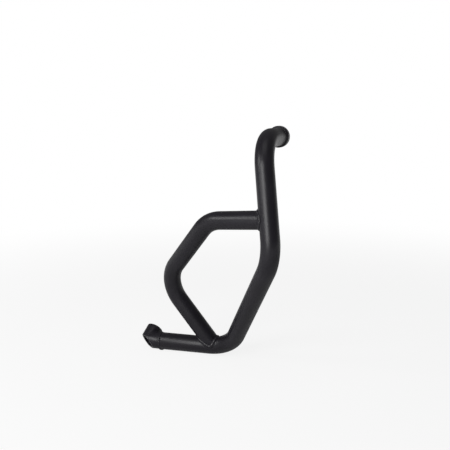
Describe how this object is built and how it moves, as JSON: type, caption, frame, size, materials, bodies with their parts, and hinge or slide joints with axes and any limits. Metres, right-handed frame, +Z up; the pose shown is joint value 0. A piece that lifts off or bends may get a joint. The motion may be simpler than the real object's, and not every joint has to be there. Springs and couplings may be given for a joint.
{
  "type": "motorcycle crash bar",
  "caption": "Lower engine crash bar for one side of a motorcycle: a bent tube with a bent brace welded into it, a threaded top end and a drilled rear elbow.",
  "frame": {"origin": "centre of the top mounting face, on the axis of the threaded hole", "axes": "+X forward along the motorcycle, +Y inward along the axis of the top mount, +Z up"},
  "size_m": [0.2529, 0.1359, 0.3584],
  "materials": {
    "bar_coat": "satin black powder coat",
    "weld_coat": "satin black powder coat over rippled weld beads",
    "turned_steel": "turned steel"
  },
  "bodies": {
    "root": {"main_tube": "bar_coat", "brace_tube": "bar_coat", "top_collar": "bar_coat", "top_collar_weld": "weld_coat", "top_bung": "turned_steel", "upper_joint_weld": "weld_coat", "lower_joint_weld": "weld_coat", "rear_sleeve": "bar_coat", "rear_sleeve_weld": "weld_coat", "rear_stub": "bar_coat", "rear_stub_weld": "weld_coat", "rear_seat": "turned_steel", "rear_seat_weld": "weld_coat"}
  },
  "joints": []
}
